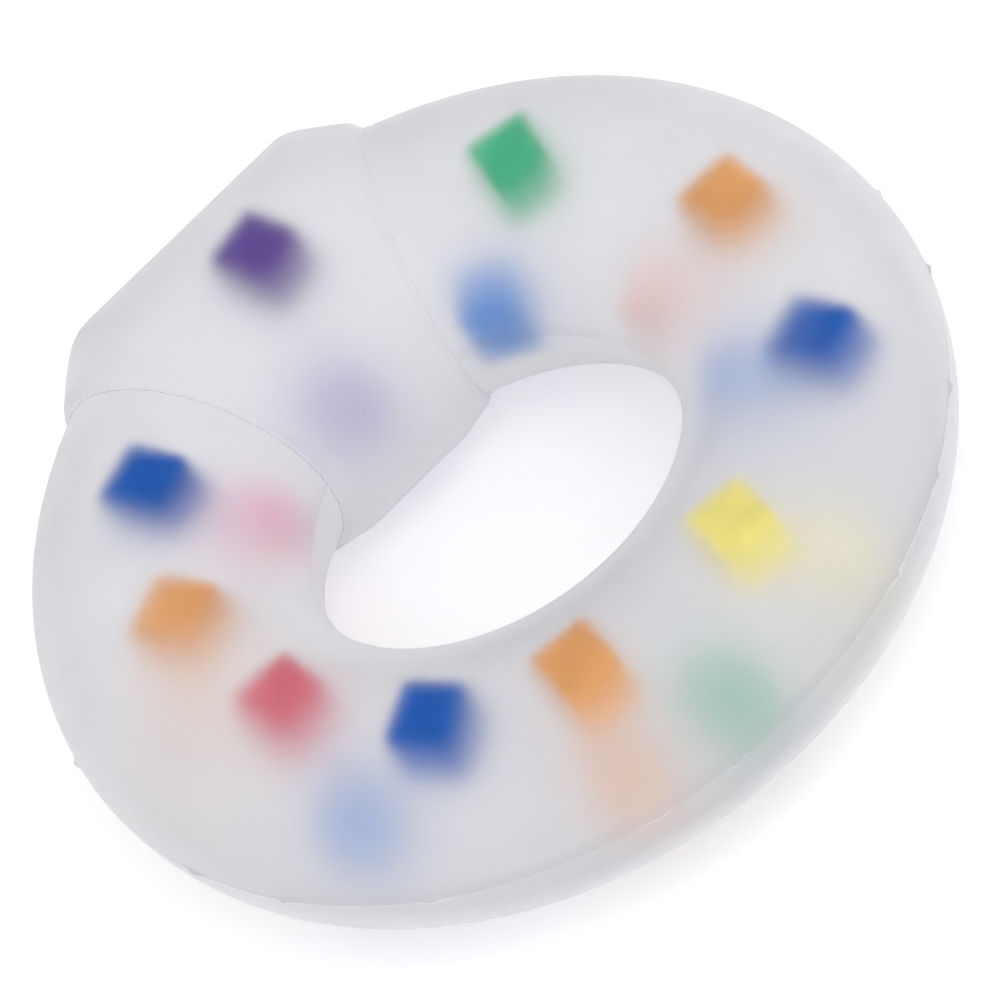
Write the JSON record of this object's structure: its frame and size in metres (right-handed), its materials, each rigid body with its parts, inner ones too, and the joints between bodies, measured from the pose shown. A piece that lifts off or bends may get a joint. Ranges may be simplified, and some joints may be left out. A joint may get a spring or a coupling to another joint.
{
  "type": "teething ring",
  "caption": "Fat, soft, milky ring for a baby to chew, closed by a straight barrel collar, with small coloured blocks that drift about inside it.",
  "frame": {"origin": "centre of the ring, on its mid-plane, in the middle of the open hole", "axes": "+Z along the ring's axis, up as it lies flat; +Y from the centre towards the collar"},
  "size_m": [0.0844, 0.0859, 0.0304],
  "materials": {
    "milky_shell": "satin, milky, lets light through",
    "milky_collar": "satin, milky, lets light through",
    "block_purple": "matte, solid colour",
    "block_green": "matte, solid colour",
    "block_orange": "matte, solid colour",
    "block_blue": "matte, solid colour",
    "block_yellow": "matte, solid colour",
    "block_red": "matte, solid colour",
    "block_violet": "matte, solid colour",
    "block_coral": "matte, solid colour",
    "block_sky": "matte, solid colour",
    "block_teal": "matte, solid colour",
    "block_pink": "matte, solid colour"
  },
  "bodies": {
    "ring": {"shell_upper": "milky_shell", "shell_lower": "milky_shell", "collar": "milky_collar"},
    "upper_purple_collar": {"block_upper_purple_collar": "block_purple"},
    "upper_green": {"block_upper_green": "block_green"},
    "upper_orange_east": {"block_upper_orange_east": "block_orange"},
    "upper_blue_east": {"block_upper_blue_east": "block_blue"},
    "upper_yellow": {"block_upper_yellow": "block_yellow"},
    "upper_orange_front": {"block_upper_orange_front": "block_orange"},
    "upper_blue_front": {"block_upper_blue_front": "block_blue"},
    "upper_red": {"block_upper_red": "block_red"},
    "upper_orange_west": {"block_upper_orange_west": "block_orange"},
    "upper_blue_west": {"block_upper_blue_west": "block_blue"},
    "lower_violet_collar": {"block_lower_violet_collar": "block_violet"},
    "lower_blue_east": {"block_lower_blue_east": "block_blue"},
    "lower_coral": {"block_lower_coral": "block_coral"},
    "lower_sky": {"block_lower_sky": "block_sky"},
    "lower_yellow": {"block_lower_yellow": "block_yellow"},
    "lower_teal": {"block_lower_teal": "block_teal"},
    "lower_orange_front": {"block_lower_orange_front": "block_orange"},
    "lower_blue_front": {"block_lower_blue_front": "block_blue"},
    "lower_orange_west": {"block_lower_orange_west": "block_orange"},
    "lower_pink": {"block_lower_pink": "block_pink"}
  },
  "joints": [
    {"name": "upper_purple_collar_travel", "type": "slide", "parent": "ring", "child": "upper_purple_collar", "axis": [1, 0, 0], "range_m": [-0.0067, 0.0012]},
    {"name": "upper_green_travel", "type": "hinge", "parent": "ring", "child": "upper_green", "pos_m": [0, 0, 0], "axis": [0, 0, 1], "range_deg": [-13.5, 25]},
    {"name": "upper_orange_east_travel", "type": "hinge", "parent": "ring", "child": "upper_orange_east", "pos_m": [0, 0, 0], "axis": [0, 0, 1], "range_deg": [-9, 13.5]},
    {"name": "upper_blue_east_travel", "type": "hinge", "parent": "ring", "child": "upper_blue_east", "pos_m": [0, 0, 0], "axis": [0, 0, 1], "range_deg": [-10.5, 9]},
    {"name": "upper_yellow_travel", "type": "hinge", "parent": "ring", "child": "upper_yellow", "pos_m": [0, 0, 0], "axis": [0, 0, 1], "range_deg": [-9, 10.5]},
    {"name": "upper_orange_front_travel", "type": "hinge", "parent": "ring", "child": "upper_orange_front", "pos_m": [0, 0, 0], "axis": [0, 0, 1], "range_deg": [-5, 9]},
    {"name": "upper_blue_front_travel", "type": "hinge", "parent": "ring", "child": "upper_blue_front", "pos_m": [0, 0, 0], "axis": [0, 0, 1], "range_deg": [-7, 5]},
    {"name": "upper_red_travel", "type": "hinge", "parent": "ring", "child": "upper_red", "pos_m": [0, 0, 0], "axis": [0, 0, 1], "range_deg": [-7.5, 7]},
    {"name": "upper_orange_west_travel", "type": "hinge", "parent": "ring", "child": "upper_orange_west", "pos_m": [0, 0, 0], "axis": [0, 0, 1], "range_deg": [-6, 7.5]},
    {"name": "upper_blue_west_travel", "type": "hinge", "parent": "ring", "child": "upper_blue_west", "pos_m": [0, 0, 0], "axis": [0, 0, 1], "range_deg": [-16.5, 6]},
    {"name": "lower_violet_collar_travel", "type": "slide", "parent": "ring", "child": "lower_violet_collar", "axis": [1, 0, 0], "range_m": [-0.0032, 0.003]},
    {"name": "lower_blue_east_travel", "type": "hinge", "parent": "ring", "child": "lower_blue_east", "pos_m": [0, 0, 0], "axis": [0, 0, 1], "range_deg": [-13.5, 13]},
    {"name": "lower_coral_travel", "type": "hinge", "parent": "ring", "child": "lower_coral", "pos_m": [0, 0, 0], "axis": [0, 0, 1], "range_deg": [-7.5, 13.5]},
    {"name": "lower_sky_travel", "type": "hinge", "parent": "ring", "child": "lower_sky", "pos_m": [0, 0, 0], "axis": [0, 0, 1], "range_deg": [-9, 7.5]},
    {"name": "lower_yellow_travel", "type": "hinge", "parent": "ring", "child": "lower_yellow", "pos_m": [0, 0, 0], "axis": [0, 0, 1], "range_deg": [-7, 9]},
    {"name": "lower_teal_travel", "type": "hinge", "parent": "ring", "child": "lower_teal", "pos_m": [0, 0, 0], "axis": [0, 0, 1], "range_deg": [-2.5, 7]},
    {"name": "lower_orange_front_travel", "type": "hinge", "parent": "ring", "child": "lower_orange_front", "pos_m": [0, 0, 0], "axis": [0, 0, 1], "range_deg": [-14, 2.5]},
    {"name": "lower_blue_front_travel", "type": "hinge", "parent": "ring", "child": "lower_blue_front", "pos_m": [0, 0, 0], "axis": [0, 0, 1], "range_deg": [-15, 14]},
    {"name": "lower_orange_west_travel", "type": "hinge", "parent": "ring", "child": "lower_orange_west", "pos_m": [0, 0, 0], "axis": [0, 0, 1], "range_deg": [-9, 15]},
    {"name": "lower_pink_travel", "type": "hinge", "parent": "ring", "child": "lower_pink", "pos_m": [0, 0, 0], "axis": [0, 0, 1], "range_deg": [-11.5, 9]}
  ]
}
